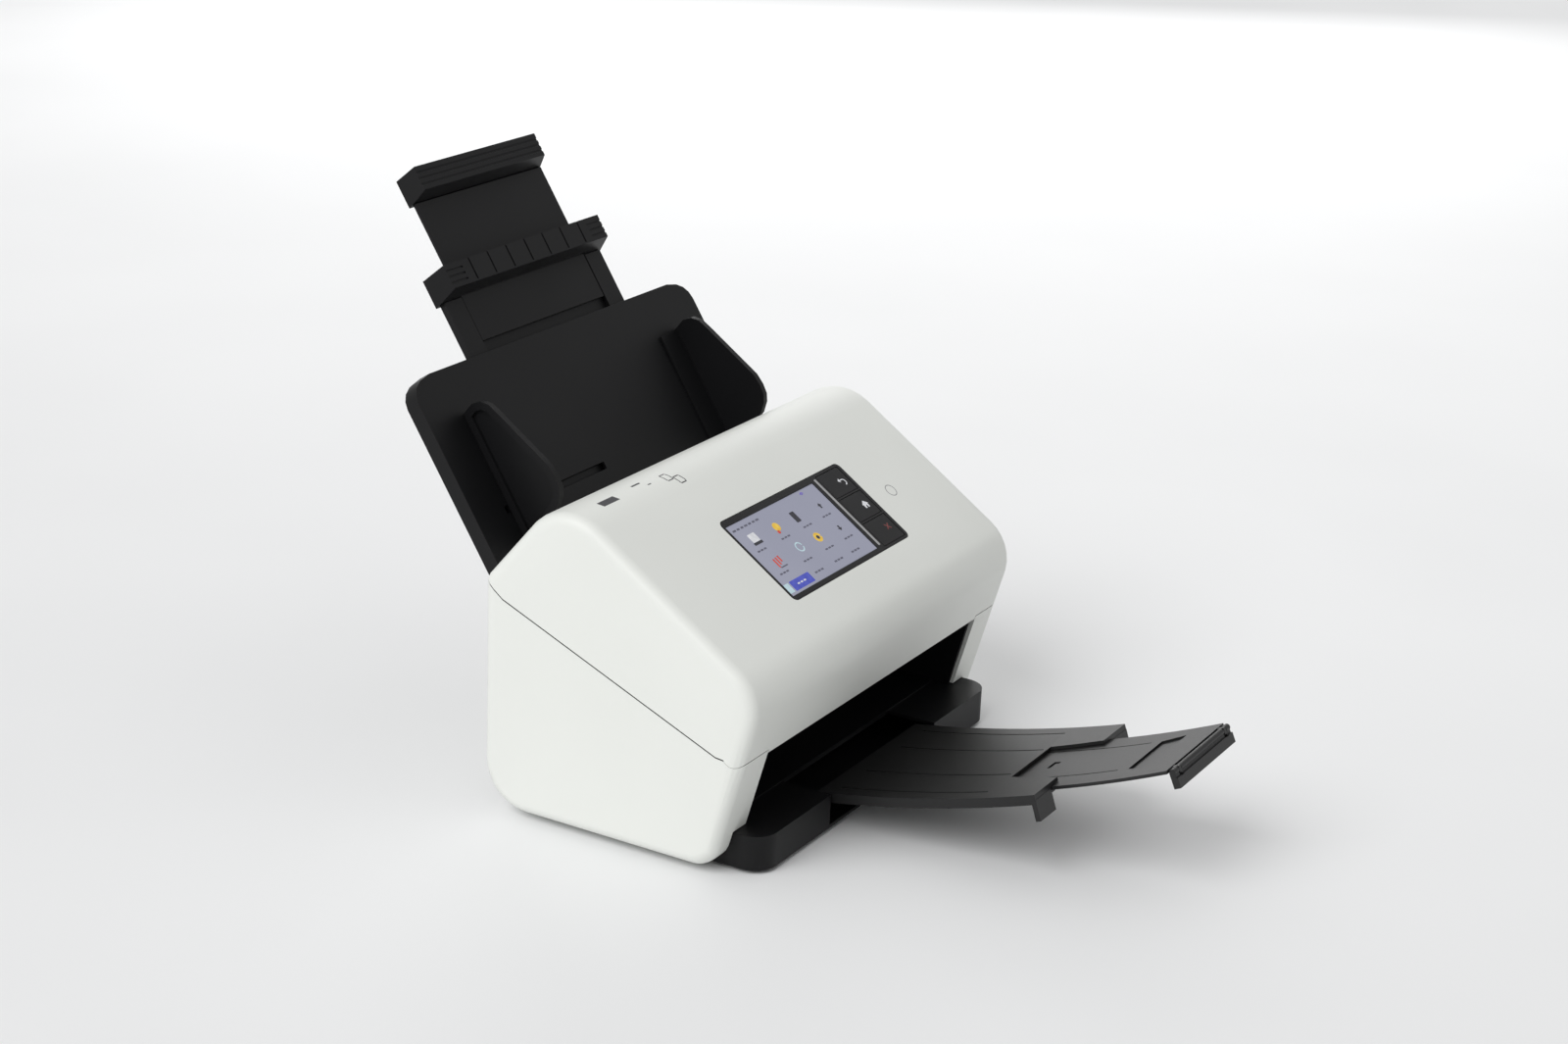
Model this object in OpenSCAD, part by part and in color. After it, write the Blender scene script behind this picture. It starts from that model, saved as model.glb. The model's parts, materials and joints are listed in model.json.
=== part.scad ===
/* [Body] */
// overall width of the machine
body_w = 299; // [280:1:320]
// wall thickness of the outer shells
wall = 2.2; // [1.6:0.2:3]
// rounding between the side faces and the rest of the body
edge_r = 7; // [5:0.5:9]
// free width of the output opening between the legs
opening_w = 240; // [200:1:244]
/* [Document path] */
// widest sheet the side guides let through
paper_w = 212; // [150:1:216]
// slope of the document path from the front, degrees
path_tilt = 22.56; // [20:0.1:25]
// backward lean of the document chute, degrees
bed_lean = 33.5; // [25:0.5:40]
// gap between the upper and lower halves of the path
path_gap = 2.4; // [2:0.1:4]
// radius of the pick roller tyres
pick_r = 11; // [9:0.5:12]
// radius of the feed and exit roller tyres
feed_r = 9; // [7:0.5:10]
/* [Control panel] */
// width of the visible display
screen_w = 95; // [80:1:100]
// height of the visible display
screen_h = 54; // [45:1:56]
/* [Output tray] */
// half width of the first tray stage
tray_half = 58; // [50:1:60]
// half width of the second tray stage
ext_half = 38.5; // [30:0.5:39]
/* [Paper support] */
// half width of the lower support stage
lower_half = 77.3; // [70:0.1:86]
// half width of the upper support stage
upper_half = 61.2; // [50:0.1:66]

/* [Hidden] */
// Frame: X to the right seen from the front, the front faces -Y, Z up, the desk is z = 0.
// The origin is under the middle of the whole footprint; y_off moves the body there.
y_off = 21.674;
half = body_w / 2;
leg_in = opening_w / 2 + 0.5;
eps = 0.01;
// corner circles of the side outline: y, z, radius, anticlockwise from the lower rear
outline = [[72, 32, 28], [90, 135.4, 10], [45.55, 153.03, 33], [-45.44, 98.3, 28], [-36.8, 20, 16]];
// cover hinge axis
hinge_y = -62;
hinge_z = 75;
// sideways place of the control panel
panel_x = 2.8;
// point where the document path frame sits and the foot of the chute bed plane
path_y = 20;
path_z = 101;
bed_y = 93;
bed_z = 137;
// stations along the path
pick_p = 50;
feed_p = 22;
exit_p = -58;
pick_q = -pick_r - 0.15;
feed_q = -feed_r - 0.15;
sep_r = 10;
pinch_r = 6;
shaft_r = 3;
pin_r = 2;
run = 0.06;
pulley_r = 8;
motor_p = -10;
motor_q = -48;
motor_pulley_r = 5;
// output tray arc
arc_y = 59;
arc_z = 767.5;
arc_r = 757;
// angle of the end of the drawn out tray from straight down
ext_end = 24.7;
// guide rack
rack_m = 1;
rack_n = 16;
pinion_s = 22;

$fn = 48;

// ---------- frames ----------
module placed() translate([0, y_off, 0]) children();
// side view shapes are drawn as (y, z) and pulled along X from x0 to x1
module along_x(x0, x1)
  translate([x0, 0, 0]) rotate([90, 0, 90]) linear_extrude(x1 - x0) children();
module both() {
  children();
  mirror([1, 0, 0]) children();
}
module on_path() translate([0, path_y, path_z]) rotate([path_tilt, 0, 0]) children();
module on_bed() translate([0, bed_y, bed_z]) rotate([-bed_lean, 0, 0]) children();
module on_panel() translate([panel_x, 4.7, 165.4]) rotate([33.7, 0, 0]) children();
// box from corner to corner
module bx(a, b) translate(a) cube(b - a);
// rod along X at (y, z)
module rod(x0, x1, y, z, r) translate([x0, y, z]) rotate([0, 90, 0]) cylinder(h = x1 - x0, r = r);

// ---------- outline ----------
function tangent_angle(a, b) =
  let(d = [b[0] - a[0], b[1] - a[1]]) atan2(d[1], d[0]) - acos((a[2] - b[2]) / norm(d));
function rim_points(c, i, g) =
  let(n = len(c), t0 = tangent_angle(c[(i + n - 1) % n], c[i]), t1 = tangent_angle(c[i], c[(i + 1) % n]))
  [for (t = [t0, t1]) [c[i][0] + (c[i][2] - g) * cos(t), c[i][1] + (c[i][2] - g) * sin(t)]];
module outline2d(g) {
  polygon([for (i = [0 : len(outline) - 1]) for (p = rim_points(outline, i, g)) p]);
  for (c = outline) translate([c[0], c[1]]) circle(c[2] - g);
}
module outline_slice(x, g)
  translate([x, 0, 0]) rotate([90, 0, 90]) linear_extrude(eps) hull()
    for (c = outline) translate([c[0], c[1]]) circle(c[2] - g, $fn = 32);
// the whole body as a solid, g inside the outer surface, with rounded side rims
module body_solid(g) hull()
  for (a = [0 : 22.5 : 90]) {
    outline_slice(half - edge_r + (edge_r - g) * sin(a) - eps, g + (edge_r - g) * (1 - cos(a)));
    outline_slice(-half + edge_r - (edge_r - g) * sin(a), g + (edge_r - g) * (1 - cos(a)));
  }
module body_shell() difference() {
  body_solid(0);
  body_solid(wall);
}
// region above the seam between the front cover and the lower body
module above_seam(d) polygon([[-120, 64.3 + d], [-64.2, 70.1 + d], [-51, 71.5 + d], [86.9, 128.8 + d],
  [96.9, 136.4 + d], [130, 161 + d], [130, 260], [-120, 260]]);
module hinge_disc(r) translate([hinge_y, hinge_z]) circle(r);
// room kept free for the chute
module chute_room() on_bed() bx([-140.7, -0.7, -24], [140.7, 10.2, 140]);

// ---------- lower body ----------
module base_plan(g) {
  translate([-119.6 + g, -53]) square([239.2 - 2 * g, 150.2 - g]);
  // front bar, which reaches under the legs
  translate([-133 + g, -59.1]) square([266 - 2 * g, 22.7 - g]);
  translate([-119, -73.1 + g]) square([238, 30]);
  for (s = [-1, 1]) translate([s * 119, -59.1]) circle(14 - g);
}
module base_frame() color([0.06, 0.06, 0.065]) placed() {
  difference() {
    union() {
      translate([0, 0, 2.3]) linear_extrude(20.1) base_plan(0);
      bx([-119.6, -42, 22], [119.6, 93, 23.4]);
    }
    translate([0, 0, 4.3]) linear_extrude(16.3) base_plan(2);
    bx([-61, -80, 4.3], [61, -42, 30]);
    for (x = [-100, 100]) for (y = [-30, 82]) translate([x, y, 2]) cylinder(h = 10, r = 1.7);
  }
  for (x = [-100, 100]) for (y = [-30, 82]) translate([x, y, 4.3]) difference() {
    cylinder(h = 16.4, r = 4);
    translate([0, 0, -1]) cylinder(h = 9, r = 1.7);
  }
  // back wall of the paper stacking space
  bx([-117, -12, 23.3], [117, -10, 62]);
  // upright cheeks that carry the scan unit
  both() difference() {
    along_x(117.4, 119.6) polygon([[-52, 22], [91, 22], [91, 118], [80, 118], [-46, 66.5], [-63.5, 66.5]]);
    along_x(117, 120) polygon([[6, 30], [80, 30], [80, 96], [6, 66]]);
    on_path() for (c = [[pick_p, pick_q], [feed_p, feed_q], [exit_p, feed_q]]) rod(110, 125, c[0], c[1], 4.5);
  }
  bx([-117.4, 62, 23.3], [117.4, 64, 60]);
}
module rubber_feet() color([0.12, 0.12, 0.12]) placed()
  for (x = [-98, 98]) for (y = [-52, 66]) translate([x, y, 0]) cylinder(h = 2.3, r = 9);
module case_screws() color([0.6, 0.6, 0.62]) placed()
  for (x = [-100, 100]) for (y = [-30, 82]) translate([x, y, 1]) difference() {
    union() {
      cylinder(h = 1.3, r = 3);
      cylinder(h = 9, r = 1.6);
    }
    translate([-2, -0.4, -1]) cube([4, 0.8, 1.6]);
    translate([-0.4, -2, -1]) cube([0.8, 4, 1.6]);
  }
module side_cover() difference() {
  leg_and_side();
  // step over the end of the base's front bar
  bx([leg_in - 1, -80, 0], [133.5, -35.9, 22.9]);
}
module leg_and_side() {
  difference() {
    intersection() {
      body_shell();
      bx([leg_in, -120, 0], [160, 130, 200]);
    }
    along_x(leg_in - 1, 160) above_seam(-0.4);
    along_x(leg_in - 1, 160) hinge_disc(7.3);
    chute_room();
  }
  // inner wall of the leg
  difference() {
    along_x(leg_in, leg_in + 2) intersection() {
      outline2d(wall - 0.3);
      polygon([[-90, 4], [-16, 4], [-16, 48], [-46, 56], [-46, 73], [-90, 73]]);
    }
    along_x(leg_in - 1, leg_in + 3) above_seam(-0.6);
    along_x(leg_in - 1, leg_in + 3) hinge_disc(7.3);
  }
}
module right_side_cover() color([0.86, 0.87, 0.84]) placed() side_cover();
module left_side_cover() color([0.86, 0.87, 0.84]) placed() mirror([1, 0, 0]) side_cover();
module rear_cover() color([0.84, 0.85, 0.82]) placed() difference() {
  intersection() {
    body_shell();
    bx([-leg_in + 0.4, 93.6, 22.8], [leg_in - 0.4, 130, 200]);
  }
  along_x(-130, 130) above_seam(-0.4);
  chute_room();
  // windows for the sockets
  bx([-47.2, 90, 37.8], [-32.8, 105, 50.2]);
  bx([-13, 90, 37.4], [1, 105, 51]);
  bx([16.6, 90, 37.4], [35.4, 105, 53.6]);
  // vent slots
  for (x = [60 : 8 : 100]) bx([x, 90, 60], [x + 3, 105, 90]);
}
module lower_scan_frame() color([0.1, 0.1, 0.105]) placed() on_path() {
  scan_tray();
  // ears and axle of the paper sensor flag
  for (x = [37, 45.2]) bx([x, 60, -11], [x + 1.8, 65, -4]);
  rod(38, 46, 62.5, -9, 1.5);
}
module scan_tray() difference() {
  union() {
    bx([-117, -72, -4.2], [117, 70, -path_gap / 2]);
    both() bx([114, -72, -22], [117, 70, -4]);
    bx([-114, -72, -9], [114, -69, -4]);
    bx([-114, 66, -16], [114, 69, -4]);
    bx([-114, 34, -14], [114, 36, -4]);
  }
  // roller windows
  both() for (x = [6, 70]) bx([x - 1, feed_p - 9, -5], [x + 25, feed_p + 9, 0]);
  both() for (x = [6, 70]) bx([x - 1, exit_p - 9, -5], [x + 25, exit_p + 9, 0]);
  both() bx([3, pick_p - 11, -5], [31, pick_p + 11, 0]);
  // glass seat
  bx([-110, -14, -5], [110, 6, 0]);
  bx([-112, -16, -3.2], [112, 8, 0]);
  // flag slot
  bx([39, 56, -20], [45, 69.5, 0]);
  // bearing bores
  rod(-130, 130, pick_p, pick_q, shaft_r + run);
  rod(-130, 130, feed_p, feed_q, shaft_r + run);
  rod(-130, 130, exit_p, feed_q, shaft_r + run);
}
module lower_glass() color([0.7, 0.78, 0.8, 0.5]) placed() on_path()
  bx([-111.8, -15.8, -3.1], [111.8, 7.8, -path_gap / 2]);
module lower_image_sensor() color([0.16, 0.16, 0.17]) placed() on_path() difference() {
  bx([-109, -12, -18], [109, 4, -4.4]);
  bx([-107, -6, -5.5], [107, -2, -4]);
}
module paper_sensor_flag() color([0.09, 0.09, 0.1]) placed() on_path() {
  difference() {
    union() {
      rod(40.5, 43.5, 62.5, -9, 3);
      bx([40.5, 61, -9], [43.5, 64, 0.6]);
      bx([40.5, 60, -18], [43.5, 62.5, -9]);
    }
    rod(40, 44, 62.5, -9, 1.5 + run);
  }
}
module roller_shaft(p, q) on_path() rod(-129, 118.5, p, q, shaft_r);
module pick_shaft() color([0.7, 0.7, 0.72]) placed() roller_shaft(pick_p, pick_q);
module feed_shaft() color([0.7, 0.7, 0.72]) placed() roller_shaft(feed_p, feed_q);
module exit_shaft() color([0.7, 0.7, 0.72]) placed() roller_shaft(exit_p, feed_q);
// a tyre from x0 to x1 pressed on its shaft
module tyre(x0, x1, p, q, r, rin) difference() {
  rod(x0, x1, p, q, r);
  rod(x0 - 1, x1 + 1, p, q, rin);
}
module pick_tyres() color([0.2, 0.22, 0.26]) placed() on_path() both() tyre(5, 29, pick_p, pick_q, pick_r, shaft_r);
module feed_tyres() color([0.2, 0.22, 0.26]) placed() on_path()
  both() for (x = [6, 70]) tyre(x, x + 23, feed_p, feed_q, feed_r, shaft_r);
module exit_tyres() color([0.2, 0.22, 0.26]) placed() on_path()
  both() for (x = [6, 70]) tyre(x, x + 23, exit_p, feed_q, feed_r, shaft_r);
module pulley(p, q, r, rin) difference() {
  union() {
    rod(-127, -121, p, q, r);
    rod(-121.3, -120.3, p, q, r + 2.2);
    rod(-127.9, -126.9, p, q, r + 2.2);
  }
  rod(-130, -110, p, q, rin);
}
module pick_pulley() color([0.85, 0.85, 0.8]) placed() on_path() pulley(pick_p, pick_q, pulley_r, shaft_r);
module feed_pulley() color([0.85, 0.85, 0.8]) placed() on_path() pulley(feed_p, feed_q, pulley_r, shaft_r);
module exit_pulley() color([0.85, 0.85, 0.8]) placed() on_path() pulley(exit_p, feed_q, pulley_r, shaft_r);
module motor_pulley() color([0.7, 0.65, 0.45]) placed() on_path() pulley(motor_p, motor_q, motor_pulley_r, 1.5);
module belt2d(g) hull() {
  for (c = [[pick_p, pick_q], [feed_p, feed_q], [exit_p, feed_q]]) translate(c) circle(pulley_r + g, $fn = 32);
  translate([motor_p, motor_q]) circle(motor_pulley_r + g, $fn = 32);
}
module drive_belt() color([0.07, 0.07, 0.07]) placed() on_path() along_x(-126.5, -121.7) difference() {
  belt2d(1.5);
  belt2d(0.3);
}
module drive_motor() color([0.45, 0.45, 0.47]) placed() on_path() difference() {
  union() {
    rod(-114.6, -88, motor_p, motor_q, 17);
    rod(-117.5, -114.6, motor_p, motor_q, 5);
    rod(-88, -85, motor_p, motor_q, 6);
  }
  rod(-118, -95, motor_p, motor_q, 1.5 + run);
}
module motor_shaft() color([0.7, 0.7, 0.72]) placed() on_path() rod(-128.5, -96, motor_p, motor_q, 1.5);
module motor_bracket() color([0.66, 0.67, 0.69]) placed() on_path() difference() {
  union() {
    bx([-117, motor_p - 24, motor_q - 19], [-115.2, motor_p + 24, motor_q + 19]);
    bx([-117, motor_p - 24, motor_q + 17.2], [-100, motor_p + 24, motor_q + 19]);
  }
  rod(-120, -110, motor_p, motor_q, 5.1);
  for (p = [-20, 20]) rod(-120, -110, motor_p + p, motor_q - 14, 2);
}
module main_board() color([0.05, 0.3, 0.16]) placed() {
  bx([-60, 84, 34], [60, 85.6, 96]);
  bx([-30, 80.5, 62], [-6, 84, 86]);
  bx([8, 82, 64], [22, 84, 78]);
  bx([30, 81.5, 60], [44, 84, 82]);
  for (x = [-54, -46]) translate([x, 84, 70]) rotate([90, 0, 0]) cylinder(h = 9, r = 3.4);
  bx([40, 78, 40], [56, 84, 46]);
}
module dc_jack() color([0.08, 0.08, 0.08]) placed() difference() {
  bx([-46.7, 85.7, 38.3], [-33.3, 99.4, 49.7]);
  translate([-40, 88, 44]) rotate([-90, 0, 0]) cylinder(h = 20, r = 3.6);
}
module usb_port() color([0.7, 0.7, 0.72]) placed() difference() {
  bx([-12.4, 85.7, 38], [0.4, 99.4, 50.4]);
  bx([-11, 88, 39.4], [-1, 110, 49]);
}
module lan_port() color([0.68, 0.68, 0.7]) placed() difference() {
  bx([17.2, 85.7, 38], [34.8, 99.4, 53]);
  bx([19, 88, 41.4], [33, 110, 51.6]);
  bx([23, 88, 39.4], [29, 110, 42]);
}
module hinge_brackets() color([0.55, 0.56, 0.58]) placed() both() {
  along_x(122.8, 125.8) {
    hinge_disc(2.9);
    polygon([[hinge_y - 0.43, hinge_z - 1.33], [hinge_y + 9.1, hinge_z - 4.4], [-50.5, 64], [-42, 50], [-40, 30],
      [-30, 30], [-34, 52], [-44, 66], [hinge_y + 12.8, hinge_z - 2.7], [hinge_y + 0.43, hinge_z + 1.33]]);
  }
  rod(125, 131.5, hinge_y, hinge_z, 1.5);
}

// ---------- cover ----------
// plate lying in the panel plane with rounded corners
module panel_plate(w0, w1, y0, y1, z0, z1, r) translate([0, 0, z0]) linear_extrude(z1 - z0) {
  translate([w0 + r, y0]) square([w1 - w0 - 2 * r, y1 - y0]);
  translate([w0, y0 + r]) square([w1 - w0, y1 - y0 - 2 * r]);
  for (x = [w0 + r, w1 - r]) for (y = [y0 + r, y1 - r]) translate([x, y]) circle(r);
}
module front_cover() color([0.86, 0.87, 0.84]) placed() {
  difference() {
    intersection() {
      body_shell();
      union() {
        along_x(-160, 160) above_seam(0.4);
        along_x(-160, 160) hinge_disc(7);
        along_x(-leg_in + 0.7, leg_in - 0.7) polygon([[-90, 67.8], [-55, 67.8], [-55, 76], [-90, 76]]);
      }
    }
    // swing clearance and feed throat between the side guides
    along_x(-113.5, 113.5) difference() {
      translate([60, 100]) square([100, 120]);
      translate([hinge_y, hinge_z]) circle(170.5, $fn = 96);
    }
    on_bed() bx([-113.5, -8, -40], [113.5, 60, 80]);
    chute_room();
    // panel opening
    on_panel() panel_plate(-65.6, 65.6, -61.4, 0.4, -6, 3, 3.9);
  }
  // seat frame behind the panel
  on_panel() difference() {
    bx([-68, -64, -5.6], [68, 3, -2.1]);
    bx([-62, -58.5, -7], [62, -2.5, 0]);
    panel_plate(-65.6, 65.6, -61.4, 0.4, -4.4, 0, 3.9);
  }
  // knuckles that turn on the bracket pins
  both() difference() {
    along_x(126.2, 131.2) {
      hinge_disc(3.1);
      polygon([[hinge_y - 3.1, hinge_z - 0.5], [hinge_y + 1, hinge_z + 2.9], [-58, 85], [-70, 85],
        [-67.2, hinge_z - 0.5]]);
    }
    rod(125.9, 132, hinge_y, hinge_z, 1.5 + run);
  }
}
module upper_scan_frame() color([0.1, 0.1, 0.105]) placed() on_path() difference() {
  union() {
    bx([-117, -66, path_gap / 2], [117, 60, 4.2]);
    both() bx([114, -66, 4], [117, 60, 20]);
    both() bx([114, -30, 4.2], [146.9, 40, 6.2]);
    bx([-114, -66, 4], [114, -64.5, 9]);
    bx([-114, 34, 4], [114, 36, 14]);
    bx([-113, 57, 4], [113, 60, 24]);
  }
  both() for (x = [6, 70]) bx([x - 1, feed_p - 7.5, 0], [x + 25, feed_p + 7.5, 5]);
  both() for (x = [6, 70]) bx([x - 1, exit_p - 7.5, 0], [x + 25, exit_p + 7.5, 5]);
  bx([-32, pick_p - 11, 0], [32, pick_p + 11, 30]);
  bx([-110, -40, 0], [110, -20, 5]);
  bx([-112, -42, 0], [112, -18, 3.2]);
  rod(-130, 130, pick_p, sep_r + 0.15, pin_r + run);
  rod(-130, 130, feed_p, pinch_r + 0.15, pin_r + run);
  rod(-130, 130, exit_p, pinch_r + 0.15, pin_r + run);
}
module upper_glass() color([0.7, 0.78, 0.8, 0.5]) placed() on_path()
  bx([-111.8, -41.8, path_gap / 2], [111.8, -18.2, 3.1]);
module upper_image_sensor() color([0.16, 0.16, 0.17]) placed() on_path() difference() {
  bx([-109, -38, 4.4], [109, -22, 18]);
  bx([-107, -32, 4], [107, -28, 5.5]);
}
module separation_shaft() color([0.7, 0.7, 0.72]) placed() on_path() rod(-118, 118, pick_p, sep_r + 0.15, pin_r);
module separation_tyre() color([0.3, 0.3, 0.32]) placed() on_path() both()
  tyre(5, 29, pick_p, sep_r + 0.15, sep_r, pin_r);
module pinch(p) on_path() {
  rod(-118, 118, p, pinch_r + 0.15, pin_r);
  both() for (x = [6, 70]) rod(x, x + 23, p, pinch_r + 0.15, pinch_r);
}
module feed_pinch_roller() color([0.8, 0.8, 0.78]) placed() pinch(feed_p);
module exit_pinch_roller() color([0.8, 0.8, 0.78]) placed() pinch(exit_p);
module panel_bezel() color([0.02, 0.02, 0.025]) placed() on_panel() difference() {
  panel_plate(-65.2, 65.2, -61, 0, -4.2, 0.2, 3.5);
  // display window and its pocket
  bx([-63.8, -4.1 - screen_h, -5], [-63.8 + screen_w, -4.1, 1]);
  bx([-64.6, -60, -5], [33.5, -1.2, -1]);
  // key openings
  for (i = [0 : 2]) bx([37.6, -20.2 - i * 19.6, -5], [62.6, -1.8 - i * 19.6, 1]);
}
module display_module() color([0.62, 0.66, 0.75]) placed() on_panel() {
  bx([-64.3, -59.7, -4.1], [33.2, -1.5, -1.2]);
  bx([-63.6, -3.9 - screen_h, -1.3], [-64 + screen_w, -4.3, -0.15]);
}
module panel_board() color([0.05, 0.3, 0.16]) placed() on_panel() {
  bx([-60, -57, -8.4], [60, -5, -6.9]);
  bx([-40, -40, -10.4], [-22, -22, -8.4]);
  bx([20, -30, -11], [34, -20, -8.4]);
}
module key(i) on_panel() {
  bx([38, -19.9 - i * 19.6, -2.6], [62.2, -2.1 - i * 19.6, 0.1]);
  bx([44, -15 - i * 19.6, -5.6], [56, -7 - i * 19.6, -2.5]);
}
module back_key() color([0.03, 0.03, 0.035]) placed() key(0);
module home_key() color([0.03, 0.03, 0.035]) placed() key(1);
module cancel_key() color([0.03, 0.03, 0.035]) placed() key(2);

// ---------- chute ----------
// right half of the chute outline, g inside it
function chute_rim(g) = [[139.2 - g, -8], [139.2 - g, 105], [138 - g, 109.8 - 0.3 * g],
  [134.8 - 0.8 * g, 113.8 - 0.6 * g], [129.5 - 0.5 * g, 116.8 - 0.9 * g], [120 - 0.2 * g, 118.8 - g]];
module chute_plan(g) polygon(concat(chute_rim(g), [for (i = [5 : -1 : 0]) [-chute_rim(g)[i][0], chute_rim(g)[i][1]]]));
// plate lying in the bed plane from depth d0 to d1 behind its face
module bed_plate(d0, d1) translate([0, d1, 0]) rotate([90, 0, 0]) linear_extrude(d1 - d0) children();
module chute_bed() color([0.1, 0.1, 0.105]) placed() on_bed() difference() {
  union() {
    bed_plate(0, 2.5) chute_plan(0);
    bed_plate(2.4, 8) difference() {
      chute_plan(0);
      chute_plan(2.2);
      translate([-lower_half - 1.7, 100]) square([2 * lower_half + 3.4, 30]);
      translate([-137, -10]) square([274, 10]);
    }
    both() bx([lower_half + 1, 2.4, 42], [lower_half + 3, 7.9, 114]);
    translate([0, 8, pinion_s]) rotate([90, 0, 0]) cylinder(h = 5.6, r = 2.5);
  }
  // slots for the guide stems
  for (k = [-1, 1]) bx([k > 0 ? 15 : -113, -1, pinion_s - k * 11.2 - 2.2], [k > 0 ? 113 : -15, 2.6,
    pinion_s - k * 11.2 + 2.2]);
}
module chute_back_cover() color([0.1, 0.1, 0.105]) placed() on_bed() difference() {
  bed_plate(8.1, 9.6) chute_plan(0.3);
  for (x = [-60 : 20 : 60]) bx([x - 6, 9.1, 20], [x + 6, 10, 22]);
}
// involute flank helpers
function inv(a) = tan(a) * 180 / PI - a;
function tooth_half(r, rp, rb, n, b) = 90 / n - b + inv(20) - (r > rb ? inv(acos(rb / r)) : 0);
function flank(n, m, b, side) = let(rp = m * n / 2, rb = rp * cos(20))
  [for (k = [0 : 3]) let(r = k == 0 ? rp - 1.25 * m : rb + (rp + 0.9 * m - rb) * (k - 1) / 2)
    [r, side * tooth_half(r, rp, rb, n, b)]];
module gear2d(n, m, b) polygon([for (i = [0 : n - 1]) for (q = concat(flank(n, m, b, -1),
  [for (k = [3 : -1 : 0]) flank(n, m, b, 1)[k]])) let(a = 360 / n * i + q[1]) [q[0] * cos(a), q[0] * sin(a)]]);
// rack with teeth towards +y of its own drawing, pitch line at y = 0, tooth gaps on multiples of the pitch
module rack2d(n, m, b) polygon(concat([[-0.5 * PI * m, -4], [-0.5 * PI * m, -1.25 * m]],
  [for (i = [0 : n - 1]) for (q = [[-0.25 * PI + b + 1.25 * tan(20) * -1, -1.25], [-0.25 * PI + b + 0.9 * tan(20), 0.9],
    [0.25 * PI - b - 0.9 * tan(20), 0.9], [0.25 * PI - b + 1.25 * tan(20), -1.25]])
    [(i * PI + q[0]) * m, q[1] * m]],
  [[(n - 0.5) * PI * m, -1.25 * m], [(n - 0.5) * PI * m, -4]]));
module guide_pinion() color([0.85, 0.85, 0.8]) placed() on_bed()
  translate([0, 6.4, pinion_s]) rotate([90, 0, 0]) difference() {
    linear_extrude(3) gear2d(rack_n, rack_m, 0.9);
    translate([0, 0, -1]) cylinder(h = 5, r = 2.5 + run);
  }
// side guide standing at x = paper_w / 2; k is the side its rack runs on
module guide_fin() polygon([[-0.4, 9], [-30.6, 21.7], [-36, 26.5], [-38.4, 31], [-39, 37], [-38.2, 44],
  [-36, 49.5], [-22.7, 81.9], [-19.5, 89], [-15, 92.8], [-9, 93.8], [-0.4, 91]]);
module guide_side() on_bed() {
  difference() {
    along_x(paper_w / 2, paper_w / 2 + 4) guide_fin();
    along_x(paper_w / 2 + 1.8, paper_w / 2 + 5) offset(delta = -4.5) guide_fin();
  }
  bx([paper_w / 2 - 18, -2, 12], [paper_w / 2 + 1, -0.4, 90]);
}
module guide_stem(k) on_bed() {
  // stem through the bed slot and the rack bar behind it
  bx([paper_w / 2 - 12, -1, pinion_s - k * 11.2 - 1.8], [paper_w / 2 + 3, 6.4, pinion_s - k * 11.2 + 1.8]);
  bx([-4, 3.4, pinion_s - k * 12 - 1.2], [paper_w / 2 + 3, 6.4, pinion_s - k * 12 + 1.2]);
}
module right_guide() color([0.1, 0.1, 0.105]) placed() {
  guide_side();
  guide_stem(1);
  on_bed() translate([-1.5 * PI, 6.4, pinion_s - 8]) rotate([90, 0, 0]) linear_extrude(3) rack2d(33, rack_m, 0.06);
}
module left_guide() color([0.1, 0.1, 0.105]) placed() {
  mirror([1, 0, 0]) {
    guide_side();
    guide_stem(-1);
    on_bed() translate([-1.5 * PI, 6.4, pinion_s + 8]) rotate([90, 0, 0]) mirror([0, 1, 0])
      linear_extrude(3) rack2d(33, rack_m, 0.06);
  }
}
// head bar of a support stage, d deep: its ends are cut back towards the front, and its front side is higher
module head_bar(w, s0, d) difference() {
  intersection() {
    translate([0, 0, s0 - 1]) linear_extrude(24) polygon([[-w, 7.2], [-w + 5, 7.2 - d], [w - 5, 7.2 - d], [w, 7.2]]);
    along_x(-w - 1, w + 1) polygon([[7.2, s0], [7.2, s0 + 17], [7.2 - d, s0 + 19.8], [7.2 - d, s0 + 5.4]]);
  }
  // finger grip lines
  for (k = [0 : 2]) bx([-w - 1, 6.2 - d, s0 + 8 + k * 3.6], [w + 1, 7.8 - d, s0 + 9.2 + k * 3.6]);
}
module support_lower() color([0.08, 0.08, 0.085]) placed() on_bed() {
  difference() {
    union() {
      bx([-lower_half, 3, 84], [lower_half, 7.2, 153.2]);
      head_bar(lower_half + 4, 152.2, 15);
    }
    // pocket that the upper stage slides in
    bx([-upper_half - 0.5, 2, 80], [upper_half + 0.5, 5.9, 190]);
    bx([-upper_half - 0.5, -20, 150], [upper_half + 0.5, 5.9, 190]);
  }
  // front wall of the head with its upright ribs
  difference() {
    along_x(-upper_half - 0.6, upper_half + 0.6) polygon([[1.6, 154.2], [1.6, 156.6], [-4.8, 159], [-4.8, 171.4],
      [-7.8, 172], [-7.8, 157.6]]);
    for (x = [-54 : 18 : 54]) bx([x - 0.6, -9, 158.5], [x + 0.6, -7.2, 175]);
  }
}
module support_upper() color([0.08, 0.08, 0.085]) placed() on_bed() {
  bx([-upper_half, 3.2, 126], [upper_half, 5.5, 212]);
  head_bar(upper_half + 2.2, 211, 12.8);
}

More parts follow.
